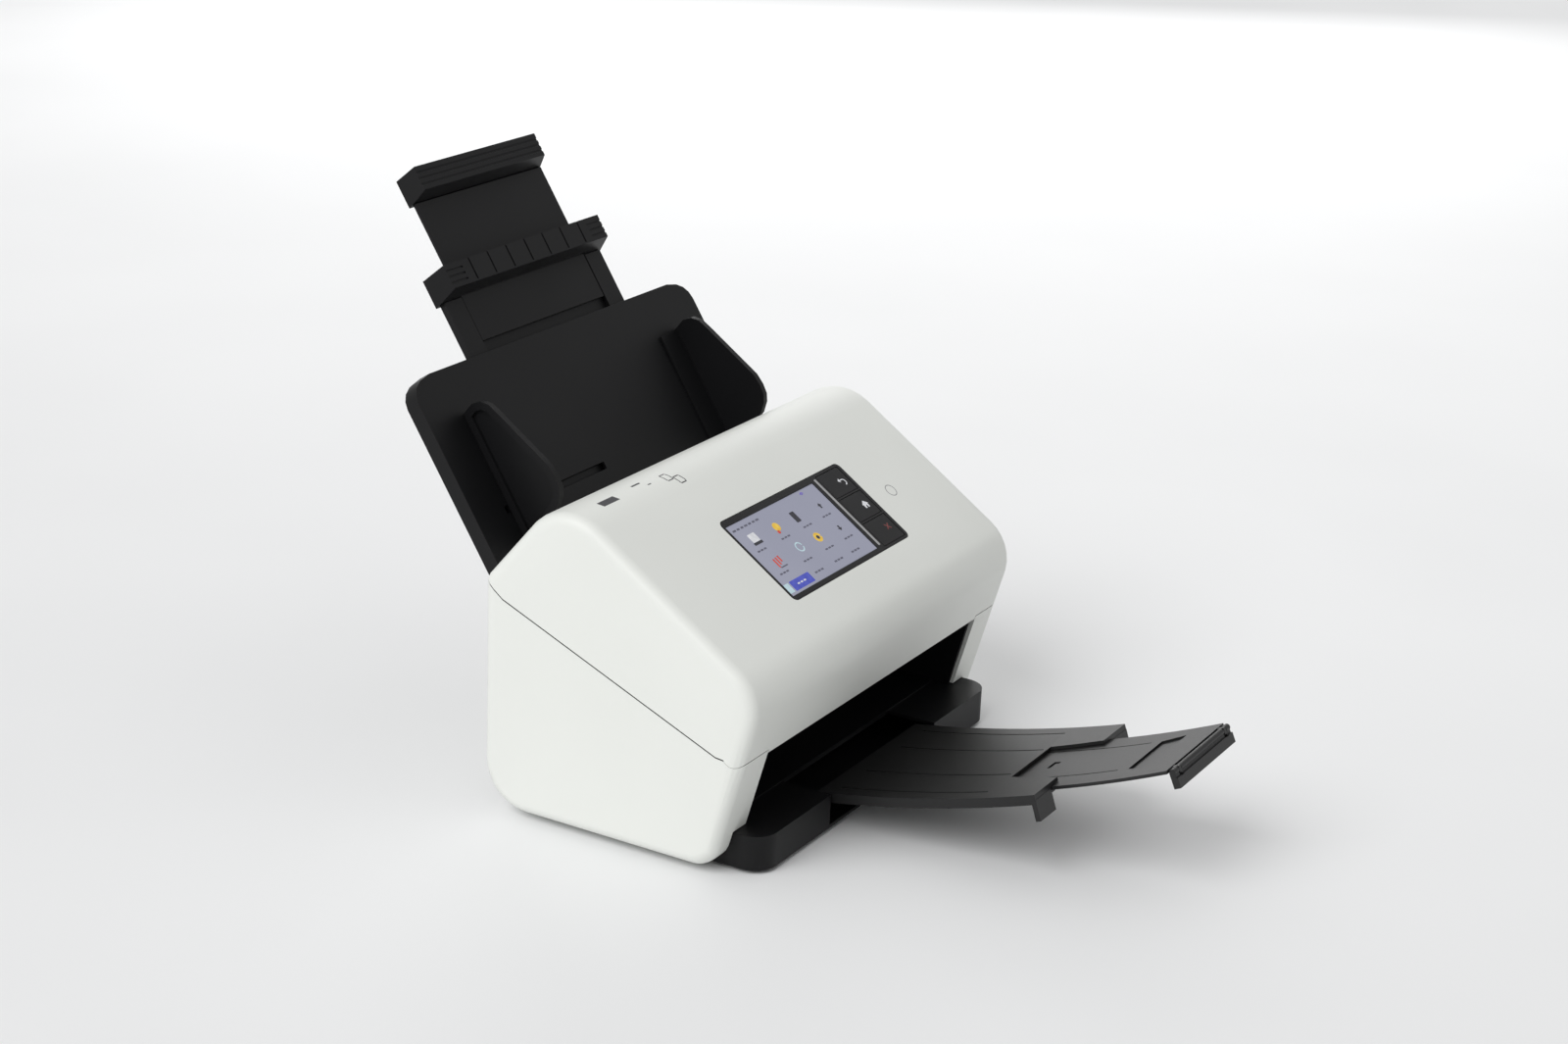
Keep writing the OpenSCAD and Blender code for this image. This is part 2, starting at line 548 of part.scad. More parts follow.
// ---------- output tray ----------
// band of the tray arc between two radii and two angles from straight down
module arc_band(x0, x1, r0, r1, a0, a1) along_x(x0, x1) intersection() {
  translate([arc_y, arc_z]) difference() {
    circle(r1, $fn = 360);
    circle(r0, $fn = 360);
  }
  translate([arc_y, arc_z]) polygon([[0, 0], [-900 * sin(a0), -900 * cos(a0)], [-900 * sin(a1), -900 * cos(a1)]]);
}
module at_angle(a) translate([0, arc_y, arc_z]) rotate([-a, 0, 0]) children();
module exit_tray() color([0.22, 0.22, 0.22]) placed() {
  difference() {
    arc_band(-tray_half, tray_half, arc_r, arc_r + 5.6, 9.2, 19.53);
    arc_band(-39, 39, arc_r + 2, arc_r + 4.5, 9, 20);
    arc_band(-35, 35, arc_r + 4, arc_r + 6, 9, 20);
    both() arc_band(42, tray_half - 2, arc_r + 2, arc_r + 6, 9.6, 19.3);
    // finger cut at the end
    translate([0, 0, 20]) linear_extrude(60) polygon([[-29.5, -200], [29.5, -200], [29.5, -192], [24.6, -164.7],
      [-24.6, -164.7], [-29.5, -192]]);
    // long grooves
    for (x = [-48, -20, 20, 48]) arc_band(x - 0.6, x + 0.6, arc_r - 1, arc_r + 0.6, 10, 17);
  }
  // pull tabs below the end corners
  both() at_angle(19.53) bx([39.4, -0.2, -arc_r - 15], [tray_half, 2.8, -arc_r - 3]);
}
module tray_extension() color([0.22, 0.22, 0.22]) placed() {
  difference() {
    arc_band(-ext_half, ext_half, arc_r + 2.3, arc_r + 4.2, 14.5, ext_end + 0.1);
    // finger recess near the end and a catch mark near the root
    intersection() {
      arc_band(-30, 30, arc_r + 1, arc_r + 3.5, 16, 24);
      translate([0, 0, 20]) linear_extrude(80) {
        polygon([[-22, -231.5], [22, -231.5], [27, -243.5], [-27, -243.5]]);
        polygon([[-6, -177], [4, -177], [4, -181], [1, -181], [1, -179], [-6, -179]]);
      }
    }
    for (x = [-22, 22]) arc_band(x - 0.5, x + 0.5, arc_r, arc_r + 2.8, 15, 22);
  }
  at_angle(ext_end) difference() {
    union() {
      both() bx([29, -5.4, -arc_r - 6.4], [31.5, 0, -arc_r - 2.6]);
      bx([-30, -1, -arc_r - 6.5], [30, 1.2, -arc_r - 3.5]);
    }
    rod(-40, 40, -3.6, -arc_r - 4.4, 1 + run);
  }
}
module tray_stopper() color([0.2, 0.2, 0.2]) placed() at_angle(ext_end) {
  difference() {
    union() {
      rod(-37, 37, -3.6, -arc_r - 4.4, 1.9);
      bx([-37, -4.8, -arc_r - 13.4], [37, -1.7, -arc_r - 4.4]);
      bx([-37, -5.8, -arc_r - 13.4], [37, -1.7, -arc_r - 7.6]);
    }
    both() bx([28.7, -10, -arc_r - 8], [31.8, 0, -arc_r - 2]);
  }
  rod(-33, 33, -3.6, -arc_r - 4.4, 1);
}

base_frame();
rubber_feet();
case_screws();
left_side_cover();
right_side_cover();
rear_cover();
lower_scan_frame();
lower_glass();
lower_image_sensor();
paper_sensor_flag();
pick_shaft();
pick_tyres();
pick_pulley();
feed_shaft();
feed_tyres();
feed_pulley();
exit_shaft();
exit_tyres();
exit_pulley();
drive_belt();
drive_motor();
motor_bracket();
motor_shaft();
motor_pulley();
main_board();
dc_jack();
usb_port();
lan_port();
hinge_brackets();
front_cover();
upper_scan_frame();
upper_glass();
upper_image_sensor();
separation_shaft();
separation_tyre();
feed_pinch_roller();
exit_pinch_roller();
panel_bezel();
display_module();
panel_board();
back_key();
home_key();
cancel_key();
chute_bed();
chute_back_cover();
left_guide();
right_guide();
guide_pinion();
support_lower();
support_upper();
exit_tray();
tray_extension();
tray_stopper();
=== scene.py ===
"""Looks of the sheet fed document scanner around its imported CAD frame."""
import json
import math
import bmesh
import bpy
from mathutils import Matrix, Vector
from mathutils.bvhtree import BVHTree


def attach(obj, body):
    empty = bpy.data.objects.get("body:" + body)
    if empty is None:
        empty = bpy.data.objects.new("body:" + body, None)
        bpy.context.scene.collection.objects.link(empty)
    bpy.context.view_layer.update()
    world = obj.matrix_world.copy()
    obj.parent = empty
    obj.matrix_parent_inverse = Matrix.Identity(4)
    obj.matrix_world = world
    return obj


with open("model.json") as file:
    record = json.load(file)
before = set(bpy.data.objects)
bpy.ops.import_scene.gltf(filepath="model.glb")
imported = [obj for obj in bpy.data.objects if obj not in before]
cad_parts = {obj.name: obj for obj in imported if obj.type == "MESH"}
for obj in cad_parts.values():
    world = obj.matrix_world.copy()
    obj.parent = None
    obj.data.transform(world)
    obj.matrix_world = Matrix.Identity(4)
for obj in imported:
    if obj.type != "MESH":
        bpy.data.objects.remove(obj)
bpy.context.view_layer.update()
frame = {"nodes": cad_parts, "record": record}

S = 0.001  # millimetres to metres
Y0 = 21.674  # shift of the CAD body along Y, mm

# ---------------------------------------------------------------- camera and stage
CAMERA_AT = (-1.362, -0.784 + Y0 * S, 0.709)
AZIMUTH, ELEVATION, ROLL = math.radians(-60.1), math.radians(19.6), math.radians(2.4)

cam = bpy.data.cameras.new("camera")
cam_ob = bpy.data.objects.new("camera", cam)
bpy.context.scene.collection.objects.link(cam_ob)
cam.sensor_width = 36.0
cam.lens = 67.57
back = Vector((math.sin(AZIMUTH) * math.cos(ELEVATION), -math.cos(AZIMUTH) * math.cos(ELEVATION),
               math.sin(ELEVATION)))
cam_ob.rotation_mode = "QUATERNION"
turn = Matrix.Rotation(ROLL, 4, "Z")
look = (-back).to_track_quat("-Z", "Y").to_matrix().to_4x4()
cam_ob.matrix_world = Matrix.Translation(Vector(CAMERA_AT)) @ look @ turn
cam.clip_end = 50
bpy.context.scene.camera = cam_ob


def area_light(name, loc, aim, size, power):
    """Rectangular light at loc, turned to the point aim."""
    data = bpy.data.lights.new(name, "AREA")
    data.shape = "RECTANGLE"
    data.size, data.size_y = size
    data.energy = power
    ob = bpy.data.objects.new(name, data)
    bpy.context.scene.collection.objects.link(ob)
    ob.location = loc
    ob.rotation_euler = (Vector(aim) - Vector(loc)).to_track_quat("-Z", "Y").to_euler()
    return ob


bpy.context.scene.view_settings.view_transform = "Standard"
# broad light from above the left side, and a low one behind for the sheen on the output tray
sun = bpy.data.lights.new("soft_sun", "SUN")
sun.energy = 1.7
sun.angle = math.radians(42)
sun_ob = bpy.data.objects.new("soft_sun", sun)
bpy.context.scene.collection.objects.link(sun_ob)
sun_ob.rotation_euler = Vector((0.75, -0.2, -0.72)).to_track_quat("-Z", "Y").to_euler()
low = area_light("low_sheen", (2.2, 1.2, 0.8), (0, -0.2, 0.05), (2.0, 1.2), 11)
low.visible_camera = False
world = bpy.data.worlds.new("studio")
bpy.context.scene.world = world
world.use_nodes = True
world.node_tree.nodes["Background"].inputs[0].default_value = (1, 1, 1, 1)
world.node_tree.nodes["Background"].inputs[1].default_value = 0.55


# ---------------------------------------------------------------- materials
def tree(name):
    """New material with one Principled shader: the material, its node tree and the shader."""
    m = bpy.data.materials.new(name)
    m.use_nodes = True
    t = m.node_tree
    t.nodes.clear()
    out = t.nodes.new("ShaderNodeOutputMaterial")
    p = t.nodes.new("ShaderNodeBsdfPrincipled")
    t.links.new(p.outputs[0], out.inputs[0])
    return m, t, p


def noise(t, scale, detail=3.0, rough=0.5):
    co = t.nodes.new("ShaderNodeTexCoord")
    n = t.nodes.new("ShaderNodeTexNoise")
    n.inputs["Scale"].default_value = scale
    n.inputs["Detail"].default_value = detail
    n.inputs["Roughness"].default_value = rough
    t.links.new(co.outputs["Object"], n.inputs["Vector"])
    return n


def ramp(t, src, a, b, lo=0.35, hi=0.65):
    r = t.nodes.new("ShaderNodeValToRGB")
    r.color_ramp.elements[0].position = lo
    r.color_ramp.elements[1].position = hi
    r.color_ramp.elements[0].color = (*a, 1)
    r.color_ramp.elements[1].color = (*b, 1)
    t.links.new(src, r.inputs[0])
    return r


def maprange(t, src, lo, hi):
    r = t.nodes.new("ShaderNodeMapRange")
    r.inputs["To Min"].default_value = lo
    r.inputs["To Max"].default_value = hi
    t.links.new(src, r.inputs["Value"])
    return r


def bump(t, p, src, strength, dist):
    b = t.nodes.new("ShaderNodeBump")
    b.inputs["Strength"].default_value = strength
    b.inputs["Distance"].default_value = dist
    t.links.new(src, b.inputs["Height"])
    t.links.new(b.outputs[0], p.inputs["Normal"])


def moulded(name, col, dark, rough, grain, depth, spec=0.5):
    """Injection moulded plastic: faint uneven colour, spark-eroded grain in the bump."""
    m, t, p = tree(name)
    big = noise(t, 9, 2)
    t.links.new(ramp(t, big.outputs["Fac"], dark, col).outputs[0], p.inputs["Base Color"])
    fine = noise(t, grain, 2, 0.6)
    t.links.new(maprange(t, fine.outputs["Fac"], *rough).outputs[0], p.inputs["Roughness"])
    bump(t, p, fine.outputs["Fac"], depth, 0.0002)
    p.inputs["Specular IOR Level"].default_value = spec
    return m


def metal(name, col, rough, axis):
    """Ground metal: fine lines round the rod or along the sheet."""
    m, t, p = tree(name)
    co = t.nodes.new("ShaderNodeTexCoord")
    mp = t.nodes.new("ShaderNodeMapping")
    mp.inputs["Scale"].default_value = [(4000, 60, 60), (60, 4000, 60), (60, 60, 4000)][axis]
    n = t.nodes.new("ShaderNodeTexNoise")
    n.inputs["Scale"].default_value = 1.0
    t.links.new(co.outputs["Object"], mp.inputs["Vector"])
    t.links.new(mp.outputs[0], n.inputs["Vector"])
    dark = tuple(c * 0.8 for c in col)
    t.links.new(ramp(t, n.outputs["Fac"], dark, col).outputs[0], p.inputs["Base Color"])
    t.links.new(maprange(t, n.outputs["Fac"], rough - 0.08, rough + 0.1).outputs[0], p.inputs["Roughness"])
    p.inputs["Metallic"].default_value = 1.0
    bump(t, p, n.outputs["Fac"], 0.08, 0.0002)
    return m


def glossy(name, col, rough=(0.3, 0.4)):
    """Satin black cover plate with the faint uneven gloss of handling."""
    m, t, p = tree(name)
    n = noise(t, 28, 4, 0.6)
    lift = tuple(c + 0.004 for c in col)
    t.links.new(ramp(t, n.outputs["Fac"], col, lift).outputs[0], p.inputs["Base Color"])
    t.links.new(maprange(t, n.outputs["Fac"], *rough).outputs[0], p.inputs["Roughness"])
    p.inputs["Specular IOR Level"].default_value = 0.25
    return m


def rubber(name, col):
    """Matt rubber with a fine rough surface."""
    m, t, p = tree(name)
    n = noise(t, 1400, 3, 0.7)
    dark = tuple(c * 0.7 for c in col)
    t.links.new(ramp(t, n.outputs["Fac"], dark, col).outputs[0], p.inputs["Base Color"])
    t.links.new(maprange(t, n.outputs["Fac"], 0.65, 0.85).outputs[0], p.inputs["Roughness"])
    bump(t, p, n.outputs["Fac"], 0.3, 0.0003)
    p.inputs["Sheen Weight"].default_value = 0.1
    return m


def board(name):
    """Green solder resist over faint copper areas."""
    m, t, p = tree(name)
    co = t.nodes.new("ShaderNodeTexCoord")
    w = t.nodes.new("ShaderNodeTexVoronoi")
    w.inputs["Scale"].default_value = 220
    w.distance = "MANHATTAN"
    t.links.new(co.outputs["Object"], w.inputs["Vector"])
    green = ramp(t, w.outputs["Distance"], (0.02, 0.16, 0.07), (0.03, 0.24, 0.11), 0.2, 0.5)
    t.links.new(green.outputs[0], p.inputs["Base Color"])
    n = noise(t, 300)
    t.links.new(maprange(t, n.outputs["Fac"], 0.25, 0.45).outputs[0], p.inputs["Roughness"])
    bump(t, p, w.outputs["Distance"], 0.15, 0.0002)
    return m


def glass(name):
    """Clear scanning glass."""
    m, t, p = tree(name)
    n = noise(t, 40)
    tint = ramp(t, n.outputs["Fac"], (0.88, 0.93, 0.92), (0.95, 0.98, 0.97))
    t.links.new(tint.outputs[0], p.inputs["Base Color"])
    t.links.new(maprange(t, n.outputs["Fac"], 0.02, 0.08).outputs[0], p.inputs["Roughness"])
    p.inputs["Transmission Weight"].default_value = 0.9
    p.inputs["IOR"].default_value = 1.5
    return m


def lit(name, a, b, strength, scale):
    """Display or print: soft colour variation, glowing a little."""
    m, t, p = tree(name)
    n = noise(t, scale, 2)
    r = ramp(t, n.outputs["Fac"], a, b)
    t.links.new(r.outputs[0], p.inputs["Base Color"])
    t.links.new(r.outputs[0], p.inputs["Emission Color"])
    p.inputs["Emission Strength"].default_value = strength
    t.links.new(maprange(t, n.outputs["Fac"], 0.12, 0.2).outputs[0], p.inputs["Roughness"])
    return m


M = {
    "shell_white": moulded("shell_white", (0.775, 0.79, 0.755), (0.76, 0.775, 0.74), (0.40, 0.5), 2600, 0.08),
    "black_plastic": moulded("black_plastic", (0.0062, 0.0062, 0.007), (0.0045, 0.0045, 0.005), (0.38, 0.5),
                             2200, 0.15, 0.22),
    "dark_plastic": moulded("dark_plastic", (0.013, 0.013, 0.013), (0.009, 0.009, 0.0095), (0.38, 0.5),
                            1800, 0.15, 0.38),
    "gloss_black": glossy("gloss_black", (0.006, 0.006, 0.007)),
    "screen": lit("screen", (0.30, 0.31, 0.40), (0.33, 0.34, 0.43), 0.12, 12),
    "clear_glass": glass("clear_glass"),
    "sensor_black": moulded("sensor_black", (0.03, 0.03, 0.033), (0.02, 0.02, 0.022), (0.3, 0.4), 1500, 0.1),
    "steel": metal("steel", (0.62, 0.62, 0.63), 0.22, 0),
    "bracket_steel": metal("bracket_steel", (0.58, 0.59, 0.6), 0.35, 2),
    "motor_steel": metal("motor_steel", (0.3, 0.3, 0.31), 0.4, 0),
    "roller_rubber": rubber("roller_rubber", (0.09, 0.1, 0.12)),
    "feet_rubber": rubber("feet_rubber", (0.04, 0.04, 0.04)),
    "belt_rubber": rubber("belt_rubber", (0.02, 0.02, 0.02)),
    "nylon_white": moulded("nylon_white", (0.7, 0.7, 0.64), (0.66, 0.66, 0.6), (0.3, 0.4), 900, 0.05),
    "brass_pinion": metal("brass_pinion", (0.75, 0.56, 0.28), 0.25, 0),
    "circuit_green": board("circuit_green"),
    "socket_metal": metal("socket_metal", (0.66, 0.66, 0.68), 0.25, 2),
}
slot_of = {s["node"]: s["material_slot"] for s in frame["record"]["subparts"]}


# ---------------------------------------------------------------- CAD nodes: shading and edge rounding
def group(name):
    """Empty geometry node group with its input and output nodes."""
    g = bpy.data.node_groups.new(name, "GeometryNodeTree")
    g.interface.new_socket("Geometry", in_out="INPUT", socket_type="NodeSocketGeometry")
    g.interface.new_socket("Geometry", in_out="OUTPUT", socket_type="NodeSocketGeometry")
    return g, g.nodes.new("NodeGroupInput"), g.nodes.new("NodeGroupOutput")


def weld_group():
    """Joins the points that the CAD faces share."""
    g, i, o = group("weld_points")
    weld = g.nodes.new("GeometryNodeMergeByDistance")
    weld.inputs["Distance"].default_value = 0.00001
    g.links.new(i.outputs[0], weld.inputs[0])
    g.links.new(weld.outputs[0], o.inputs[0])
    return g


def shade_group():
    """Smooth shading, kept sharp at edges of more than 28 degrees."""
    g, i, o = group("shade_by_angle")
    n = g.nodes
    ang = n.new("GeometryNodeInputMeshEdgeAngle")
    cmp = n.new("FunctionNodeCompare")
    cmp.data_type, cmp.operation = "FLOAT", "LESS_THAN"
    cmp.inputs[1].default_value = math.radians(28)
    face = n.new("GeometryNodeSetShadeSmooth")
    face.domain = "FACE"
    edge = n.new("GeometryNodeSetShadeSmooth")
    edge.domain = "EDGE"
    g.links.new(i.outputs[0], face.inputs[0])
    g.links.new(face.outputs[0], edge.inputs[0])
    g.links.new(ang.outputs["Unsigned Angle"], cmp.inputs[0])
    g.links.new(cmp.outputs[0], edge.inputs["Shade Smooth"])
    g.links.new(edge.outputs[0], o.inputs[0])
    return g


def edges(ob, width):
    """Fine rounded edges: triangles of one plane are joined first, so that the bevel runs clean."""
    flat = ob.modifiers.new("join_flats", "DECIMATE")
    flat.decimate_type = "DISSOLVE"
    flat.angle_limit = math.radians(0.4)
    bev = ob.modifiers.new("edge_round", "BEVEL")
    bev.width = width * S
    bev.segments = 2
    bev.limit_method = "ANGLE"
    bev.angle_limit = math.radians(35)


WELD, SHADE = weld_group(), shade_group()
# edge radius in mm of the nodes whose edges catch the light
ROUND = {"left_side_cover": 0.35, "right_side_cover": 0.35, "rear_cover": 0.35, "base_frame": 0.5,
         "chute_bed": 0.5, "chute_back_cover": 0.4, "support_lower": 0.5, "support_upper": 0.5,
         "exit_tray": 0.4, "tray_extension": 0.35, "tray_stopper": 0.4, "left_guide": 0.3, "right_guide": 0.3,
         "back_key": 0.25, "home_key": 0.25, "cancel_key": 0.25, "panel_bezel": 0.2}
for name, ob in frame["nodes"].items():
    ob.data.materials.clear()
    ob.data.materials.append(M[slot_of[name]])
    ob.modifiers.new("weld", "NODES").node_group = WELD
    if name in ROUND:
        edges(ob, ROUND[name])
    ob.modifiers.new("shade", "NODES").node_group = SHADE
    if name in ROUND:
        even = ob.modifiers.new("flat_faces_even", "WEIGHTED_NORMAL")
        even.keep_sharp = True
        even.weight = 100


# ---------------------------------------------------------------- panel, keys and printed marks
# the panel's own frame in mm: x to the right, y up the slope, z out of the cover
PANEL_X = 2.8
PANEL = (Matrix.Translation((PANEL_X * S, (4.7 + Y0) * S, 0.1654))
         @ Matrix.Rotation(math.radians(33.7), 4, "X"))
DISPLAY_LEFT, DISPLAY_TOP = -63.8, -4.1
DISPLAY_WIDTH, DISPLAY_HEIGHT = 95, 54


def finish_piece(name, bm, mat, body, matrix=Matrix.Identity(4)):
    """Turns the mesh under construction into an object that rides on a body."""
    bmesh.ops.recalc_face_normals(bm, faces=bm.faces)
    bmesh.ops.transform(bm, matrix=matrix, verts=bm.verts)
    mesh = bpy.data.meshes.new(name)
    bm.to_mesh(mesh)
    bm.free()
    ob = bpy.data.objects.new(name, mesh)
    bpy.context.scene.collection.objects.link(ob)
    mesh.materials.append(mat)
    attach(ob, body)


def prism(bm, pts, z0, z1):
    """Closed flat plate with the outline pts, mm."""
    lo = [bm.verts.new((x * S, y * S, z0 * S)) for x, y in pts]
    hi = [bm.verts.new((x * S, y * S, z1 * S)) for x, y in pts]
    bm.faces.new(lo[::-1])
    bm.faces.new(hi)
    for i in range(len(pts)):
        j = (i + 1) % len(pts)
        bm.faces.new((lo[i], lo[j], hi[j], hi[i]))


def tablet(cx, cy, w, h, r=0.3, n=4):
    """Rectangle with rounded corners."""
    pts = []
    for kx, ky, a0 in ((1, 1, 0), (-1, 1, 90), (-1, -1, 180), (1, -1, 270)):
        for k in range(n + 1):
            a = math.radians(a0 + 90 * k / n)
            pts.append((cx + kx * (w / 2 - r) + r * math.cos(a), cy + ky * (h / 2 - r) + r * math.sin(a)))
    return pts


def disc(cx, cy, r, n=24):
    turns = [2 * math.pi * k / n for k in range(n)]
    return [(cx + r * math.cos(a), cy + r * math.sin(a)) for a in turns]


def ring_arc(cx, cy, r, w, a0, a1, n=18):
    """Curved stroke of width w between two angles; a full ring is left a little open."""
    there = [math.radians(a0 + (a1 - a0) * k / n) for k in range(n + 1)]
    back_again = [math.radians(a1 - (a1 - a0) * k / n) for k in range(n + 1)]
    outer, inner = r + w / 2, r - w / 2
    return ([(cx + outer * math.cos(a), cy + outer * math.sin(a)) for a in there]
            + [(cx + inner * math.cos(a), cy + inner * math.sin(a)) for a in back_again])


def uv(u, v):
    """Place on the display, 0..1 from its top left corner, as panel millimetres."""
    return DISPLAY_LEFT + DISPLAY_WIDTH * u, DISPLAY_TOP - DISPLAY_HEIGHT * v


def arrow(cx, cy, up, r):
    """Arrow with a stem, up = 1 or -1."""
    return [(cx - r * 0.35, cy - up * r), (cx + r * 0.35, cy - up * r), (cx + r * 0.35, cy), (cx + r, cy),
            (cx, cy + up * r), (cx - r, cy), (cx - r * 0.35, cy)]


INK = {
    "ink_grey": lit("ink_grey", (0.10, 0.10, 0.14), (0.13, 0.13, 0.18), 0.05, 500),
    "ink_dark": lit("ink_dark", (0.02, 0.02, 0.03), (0.03, 0.03, 0.045), 0.02, 500),
    "ink_white": lit("ink_white", (0.62, 0.63, 0.66), (0.72, 0.73, 0.76), 0.15, 400),
    "ink_yellow": lit("ink_yellow", (0.75, 0.45, 0.03), (0.85, 0.58, 0.08), 0.12, 400),
    "ink_red": lit("ink_red", (0.55, 0.05, 0.03), (0.65, 0.08, 0.05), 0.10, 400),
    "ink_blue": lit("ink_blue", (0.05, 0.07, 0.45), (0.08, 0.10, 0.55), 0.12, 300),
    "ink_purple": lit("ink_purple", (0.12, 0.08, 0.45), (0.16, 0.11, 0.52), 0.12, 300),
    "ink_cyan": lit("ink_cyan", (0.45, 0.62, 0.68), (0.55, 0.72, 0.78), 0.10, 300),
}
shapes = {k: [] for k in INK}


def dashes(ink, n, u0, du, v, w, h):
    """Row of n short dashes in place of words."""
    for k in range(n):
        shapes[ink].append(tablet(*uv(u0 + du * k, v), w, h, 0.25))


for k in range(7):  # status dashes
    x, y = uv(0.045 + 0.042 * k, 0.08)
    shapes["ink_grey"].append(tablet(x, y, 2.6 if k % 3 else 3.2, 1.3))
for v in (0.40, 0.73):  # captions under the two rows of signs
    for u in (0.114, 0.383, 0.637, 0.865):
        dashes("ink_grey", 3, u - 0.035, 0.034, v, 2.5, 1.1)
# wireless sign at the top right
shapes["ink_purple"].append(ring_arc(*uv(0.834, 0.075), 1.9, 0.7, 35, 145))
shapes["ink_purple"].append(ring_arc(*uv(0.834, 0.075), 0.9, 0.7, 35, 145))
# upper row of signs: sheet, round blob, block, arrow
x, y = uv(0.14, 0.25)
shapes["ink_white"].append(tablet(x, y + 0.6, 7.0, 6.0, 0.5))
shapes["ink_dark"].append(tablet(x, y - 3.4, 8.4, 1.8, 0.4))
shapes["ink_yellow"].append(disc(*uv(0.389, 0.25), 3.0))
shapes["ink_red"].append(disc(*uv(0.372, 0.315), 1.2))
shapes["ink_dark"].append(tablet(*uv(0.606, 0.25), 4.4, 7.6, 0.5))
shapes["ink_dark"].append(arrow(*uv(0.885, 0.268), 1, 1.9))
# lower row: strips, ring, disc, arrow
x, y = uv(0.15, 0.587)
for k in range(3):
    shapes["ink_red"].append(tablet(x - 2.6 + 2.6 * k, y + 0.8 * (k - 1), 1.3, 6.4 - k, 0.3))
shapes["ink_grey"].append(tablet(x + 1, y - 4.4, 6.8, 0.8, 0.3))
shapes["ink_cyan"].append(ring_arc(*uv(0.415, 0.565), 3.0, 0.9, 10, 350, 30))
shapes["ink_yellow"].append(ring_arc(*uv(0.627, 0.568), 2.4, 1.9, 5, 355, 30))
shapes["ink_dark"].append(disc(*uv(0.627, 0.568), 1.3))
shapes["ink_dark"].append(arrow(*uv(0.865, 0.593), -1, 1.9))
# row of tabs at the bottom
shapes["ink_blue"].append(tablet(*uv(0.178, 0.905), 20.5, 6.8, 0.6))
shapes["ink_cyan"].append(tablet(*uv(0.03, 0.905), 5.0, 6.4, 0.5))
for u in (0.39, 0.62, 0.82):
    dashes("ink_grey", 3, u - 0.04, 0.034, 0.895, 2.5, 1.2)
dashes("ink_white", 3, 0.14, 0.034, 0.905, 2.2, 1.0)

# inks that lie on others stand a little higher, mm
LAYER = {"ink_white": 0.055, "ink_red": 0.05, "ink_dark": 0.045}
for k, polys in shapes.items():
    bm = bmesh.new()
    for pts in polys:
        prism(bm, pts, -0.16, -0.12 + LAYER.get(k, 0.0))
    finish_piece("display_" + k, bm, INK[k], "cover", PANEL)

# silver divider beside the display
bm = bmesh.new()
prism(bm, tablet(35.0, -30.0, 2.0, 54.0, 0.5), 0.12, 0.3)
finish_piece("panel_divider", bm, M["steel"], "cover", PANEL)

# key signs
KEY_X = 55.5
SIGN = (0.08, 0.15)  # lower and upper face of a sign, mm
bm = bmesh.new()
prism(bm, ring_arc(KEY_X + 0.6, -12.6, 2.0, 0.7, -90, 90), *SIGN)
prism(bm, [(KEY_X - 2.6, -10.25), (KEY_X + 0.7, -10.25), (KEY_X + 0.7, -10.95), (KEY_X - 2.6, -10.95)],
      *SIGN)
prism(bm, [(KEY_X - 3.6, -10.6), (KEY_X - 1.6, -9.1), (KEY_X - 1.6, -12.1)], *SIGN)
finish_piece("back_key_sign", bm, INK["ink_white"], "back_key", PANEL)
bm = bmesh.new()
prism(bm, [(KEY_X - 3.2, -31.0), (KEY_X, -28.2), (KEY_X + 3.2, -31.0), (KEY_X + 2.2, -31.0),
           (KEY_X + 2.2, -33.6), (KEY_X + 0.7, -33.6), (KEY_X + 0.7, -31.9), (KEY_X - 0.7, -31.9),
           (KEY_X - 0.7, -33.6), (KEY_X - 2.2, -33.6), (KEY_X - 2.2, -31.0)], *SIGN)
finish_piece("home_key_sign", bm, INK["ink_white"], "home_key", PANEL)
bm = bmesh.new()
prism(bm, [(KEY_X - 2.2, -47.8), (KEY_X - 1.6, -47.2), (KEY_X, -48.8), (KEY_X + 1.6, -47.2),
           (KEY_X + 2.2, -47.8), (KEY_X + 0.6, -49.4), (KEY_X + 2.2, -51.0), (KEY_X + 1.6, -51.6),
           (KEY_X, -50.0), (KEY_X - 1.6, -51.6), (KEY_X - 2.2, -51.0), (KEY_X - 0.6, -49.4)], *SIGN)
DIM_RED = lit("dim_red", (0.16, 0.03, 0.03), (0.2, 0.04, 0.035), 0.05, 300)
finish_piece("cancel_key_sign", bm, DIM_RED, "cancel_key", PANEL)

def surface(node):
    """Search tree over a CAD node's faces."""
    mesh = frame["nodes"][node].data
    return BVHTree.FromPolygons([v.co for v in mesh.vertices], [tuple(q.vertices) for q in mesh.polygons])


# black strip inside the seam between the cover and the side covers, painted shade in place of the shadow in
# the gap: y, z of the seam's bends, mm
SEAM = ((-64.2, 70.1), (-51, 71.5), (86.9, 128.8), (96.9, 136.4))
# section of the painted-shade strip: depth behind the side face and height over the seam, mm
SEAM_SHADE_SECTION = ((0.15, -0.42), (0.15, 0.2), (1.6, 0.2), (1.6, -0.42))


def seam_height(y):
    """Height of the seam at the depth y, mm."""
    for (ya, za), (yb, zb) in zip(SEAM, SEAM[1:]):
        if ya <= y <= yb:
            return za + (zb - za) * (y - ya) / (yb - ya)
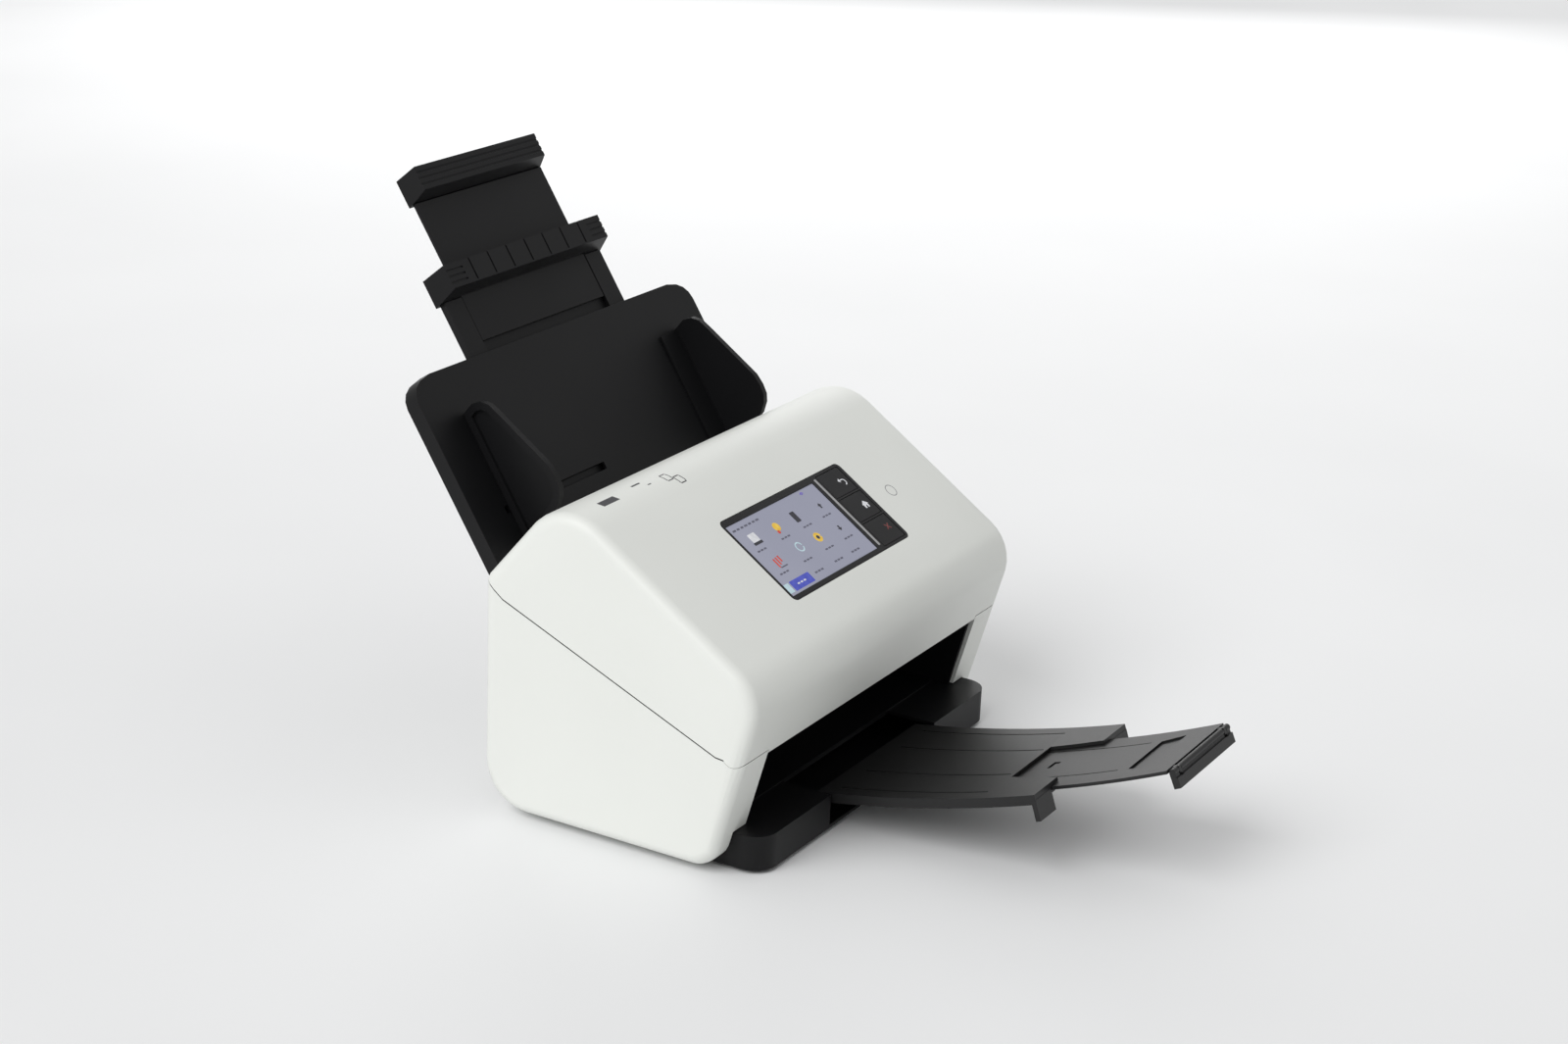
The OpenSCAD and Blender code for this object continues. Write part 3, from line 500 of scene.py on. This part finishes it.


# black plastic strip along both seams: painted shade where the seam gap only lies in shadow
bm = bmesh.new()
for side in (-1, 1):
    wall = surface("left_side_cover" if side < 0 else "right_side_cover")
    last = None
    for y in range(-62, 97):
        z = seam_height(y)
        hit = wall.ray_cast(Vector((side * 0.3, (y + Y0) * S, (z - 0.9) * S)), Vector((-side, 0, 0)))[0]
        if hit is None or abs(hit.x) < 0.14:  # beside the wall, or past its rounded end
            last = None
            continue
        x = abs(hit.x) / S
        ring = [bm.verts.new((side * (x - dx) * S, (y + Y0) * S, (z + dz) * S)) for dx, dz in SEAM_SHADE_SECTION]
        if last:
            for i in range(4):
                bm.faces.new((last[i], last[(i + 1) % 4], ring[(i + 1) % 4], ring[i]))
        else:
            bm.faces.new(ring)
        last = ring
    if last:
        bm.faces.new(last[::-1])
bmesh.ops.holes_fill(bm, edges=bm.edges)
finish_piece("seam_shade_strip", bm, M["black_plastic"], "chassis")

# marks printed on the cover, draped on its surface
COVER = surface("front_cover")
DOWN = (PANEL.to_3x3() @ Vector((0, 0, -1))).normalized()


def on_cover(x, y):
    """Point and outward normal of the cover over the panel coordinates x, y in mm from the middle."""
    start = PANEL @ Vector(((x - PANEL_X) * S, y * S, 0.04))
    hit, normal, _, _ = COVER.ray_cast(start, DOWN)
    return hit, (normal if normal.dot(DOWN) < 0 else -normal)


def draped(bm, pts, side, thick=0.05, across=4):
    """Closed printed film on the cover between two long sides, pts and side, of equal length."""
    rows = []
    for (xa, ya), (xb, yb) in zip(pts, side):
        row = []
        for k in range(across + 1):
            hit, normal = on_cover(xa + (xb - xa) * k / across, ya + (yb - ya) * k / across)
            row.append((bm.verts.new(hit - normal * 0.02 * S), bm.verts.new(hit + normal * thick * S)))
        rows.append(row)
    for i in range(len(rows) - 1):
        for k in range(across):
            a, b, c, d = rows[i][k], rows[i][k + 1], rows[i + 1][k + 1], rows[i + 1][k]
            bm.faces.new((a[1], b[1], c[1], d[1]))
            bm.faces.new((a[0], d[0], c[0], b[0]))
    for i in range(len(rows) - 1):
        for k in (0, across):
            a, d = rows[i][k], rows[i + 1][k]
            bm.faces.new((a[0], a[1], d[1], d[0]))
    for row in (rows[0], rows[-1]):
        for k in range(across):
            bm.faces.new((row[k][0], row[k + 1][0], row[k + 1][1], row[k][1]))


def bar(bm, cx, cy, w, h, n=6):
    """Printed bar."""
    xs = [cx - w / 2 + w * k / n for k in range(n + 1)]
    draped(bm, [(x, cy - h / 2) for x in xs], [(x, cy + h / 2) for x in xs])


def stroke(bm, cx, cy, r, w, a0, a1, n):
    """Printed arc."""
    angles = [math.radians(a0 + (a1 - a0) * k / n) for k in range(n + 1)]
    draped(bm, [(cx + (r - w / 2) * math.cos(a), cy + (r - w / 2) * math.sin(a)) for a in angles],
           [(cx + (r + w / 2) * math.cos(a), cy + (r + w / 2) * math.sin(a)) for a in angles])


bm = bmesh.new()
bar(bm, -116.6, 41.7, 15.0, 4.6)
bar(bm, -86.0, 44.3, 8.0, 1.1)
bar(bm, -79.0, 40.2, 3.0, 0.8)
for cx, cy in ((-63, 39.5), (-57, 34.5)):  # two small sheets, as outlines
    bar(bm, cx, cy + 3.0, 5.0, 0.7)
    bar(bm, cx, cy - 3.0, 5.0, 0.7)
    bar(bm, cx - 2.6, cy, 0.7, 5.2)
    bar(bm, cx + 2.6, cy, 0.7, 5.2)
print_dark = moulded("print_dark", (0.05, 0.05, 0.055), (0.035, 0.035, 0.04), (0.5, 0.6), 1500, 0.05)
finish_piece("sheet_marks", bm, print_dark, "cover")
bm = bmesh.new()
stroke(bm, 89.3, -31.0, 4.0, 0.5, 0, 358, 40)  # plain ring
print_grey = moulded("print_grey", (0.30, 0.30, 0.31), (0.24, 0.24, 0.25), (0.5, 0.6), 1500, 0.05)
finish_piece("touch_ring", bm, print_grey, "cover")

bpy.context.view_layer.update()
floor_mesh = bpy.data.meshes.new("floor")
floor_mesh.from_pydata([(-30, -30, 0), (30, -30, 0), (30, 30, 0), (-30, 30, 0)], [], [(0, 1, 2, 3)])
floor = bpy.data.objects.new("floor", floor_mesh)
bpy.context.scene.collection.objects.link(floor)
fm, ft, fp = tree("floor_paint")
fn = noise(ft, 3, 2)
pale = ramp(ft, fn.outputs["Fac"], (0.84, 0.845, 0.85), (0.86, 0.865, 0.87))
ft.links.new(pale.outputs[0], fp.inputs["Base Color"])
ft.links.new(maprange(ft, fn.outputs["Fac"], 0.6, 0.7).outputs[0], fp.inputs["Roughness"])
floor_mesh.materials.append(fm)
